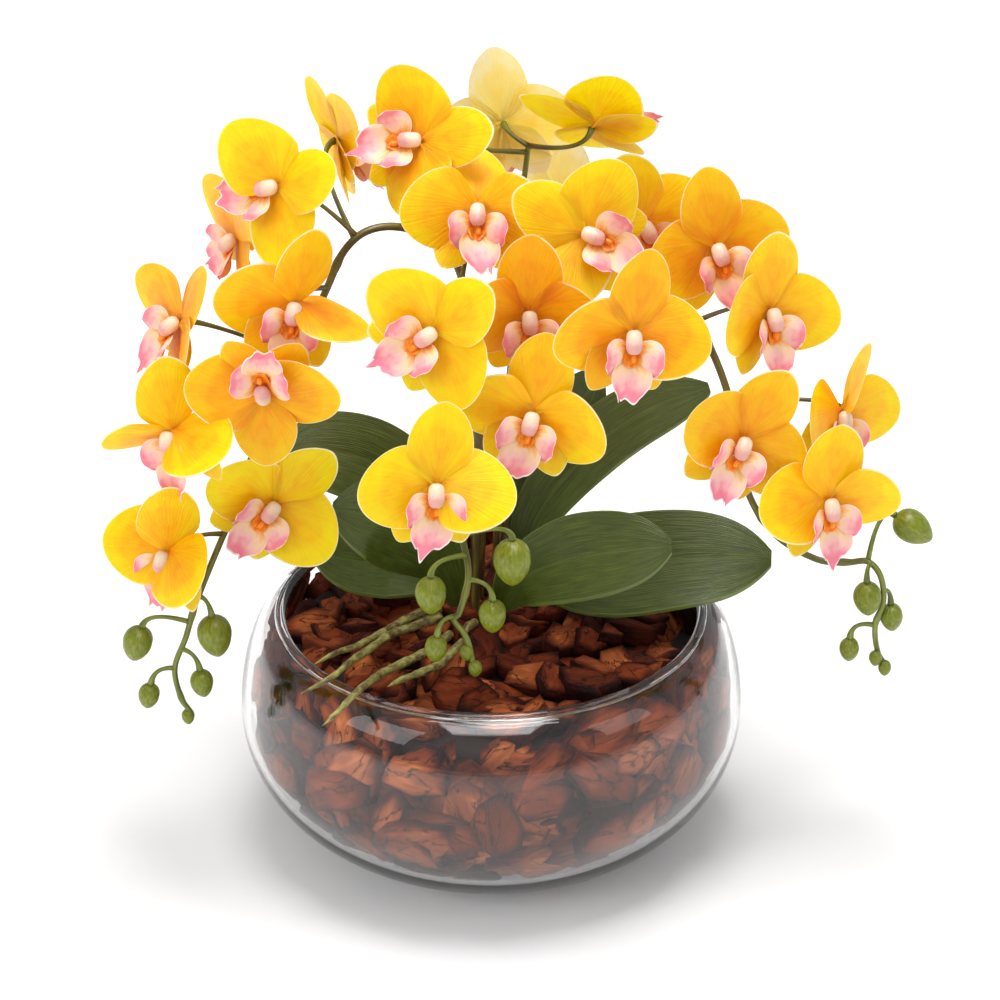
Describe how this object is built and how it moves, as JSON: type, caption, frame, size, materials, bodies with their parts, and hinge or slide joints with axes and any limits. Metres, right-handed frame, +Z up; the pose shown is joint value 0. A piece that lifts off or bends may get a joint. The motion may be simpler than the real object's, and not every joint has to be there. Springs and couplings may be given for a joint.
{
  "type": "potted orchid",
  "caption": "Branching moth orchid with yellow flowers on arching stems, dark strap leaves and aerial roots, planted in bark in a low round clear glass bowl.",
  "frame": {"origin": "centre of the bowl's flat base, on the surface it stands on", "axes": "+Z up, -Y towards the front of the arrangement, +X to the right of someone who looks at the front"},
  "size_m": [0.3936, 0.25, 0.3812],
  "materials": {
    "clear_glass": "clear, colourless, polished, with a fire-polished rolled rim",
    "bark": "dry matt red-brown pine bark, layered grain",
    "petal": "soft matt petal, fine radial veins, pale edge, orange flush near the middle",
    "bud": "satin yellow-green bud",
    "stem": "satin olive to brown stem with pale nodes",
    "leaf": "waxy satin dark green with fine parallel veins",
    "aerial_root": "matt green-yellow root with brown blotches"
  },
  "bodies": {
    "root": {"back_flower_1": "petal", "back_flower_2": "petal", "back_flower_3": "petal", "back_flower_4": "petal", "back_flower_spike": "stem", "back_leaf": "leaf", "bark_bed": "bark", "front_bud_1": "bud", "front_bud_2": "bud", "front_bud_3": "bud", "front_bud_4": "bud", "front_flower_1": "petal", "front_flower_2": "petal", "front_flower_3": "petal", "front_flower_4": "petal", "front_flower_5": "petal", "front_flower_6": "petal", "front_flower_spike": "stem", "glass_bowl": "clear_glass", "left_back_leaf": "leaf", "left_bud_1": "bud", "left_bud_2": "bud", "left_bud_3": "bud", "left_bud_4": "bud", "left_flower_1": "petal", "left_flower_2": "petal", "left_flower_3": "petal", "left_flower_4": "petal", "left_flower_5": "petal", "left_flower_6": "petal", "left_flower_7": "petal", "left_flower_8": "petal", "left_flower_9": "petal", "left_flower_spike": "stem", "left_low_leaf": "leaf", "left_middle_leaf": "leaf", "right_bud_1": "bud", "right_bud_2": "bud", "right_bud_3": "bud", "right_bud_4": "bud", "right_flower_1": "petal", "right_flower_2": "petal", "right_flower_3": "petal", "right_flower_4": "petal", "right_flower_5": "petal", "right_flower_6": "petal", "right_flower_7": "petal", "right_flower_spike": "stem", "right_front_leaf": "leaf", "right_long_leaf": "leaf", "right_upper_leaf": "leaf", "root_beside_rim": "aerial_root", "root_over_rim_1": "aerial_root", "root_over_rim_2": "aerial_root", "root_over_rim_3": "aerial_root", "short_root": "aerial_root"}
  },
  "joints": []
}
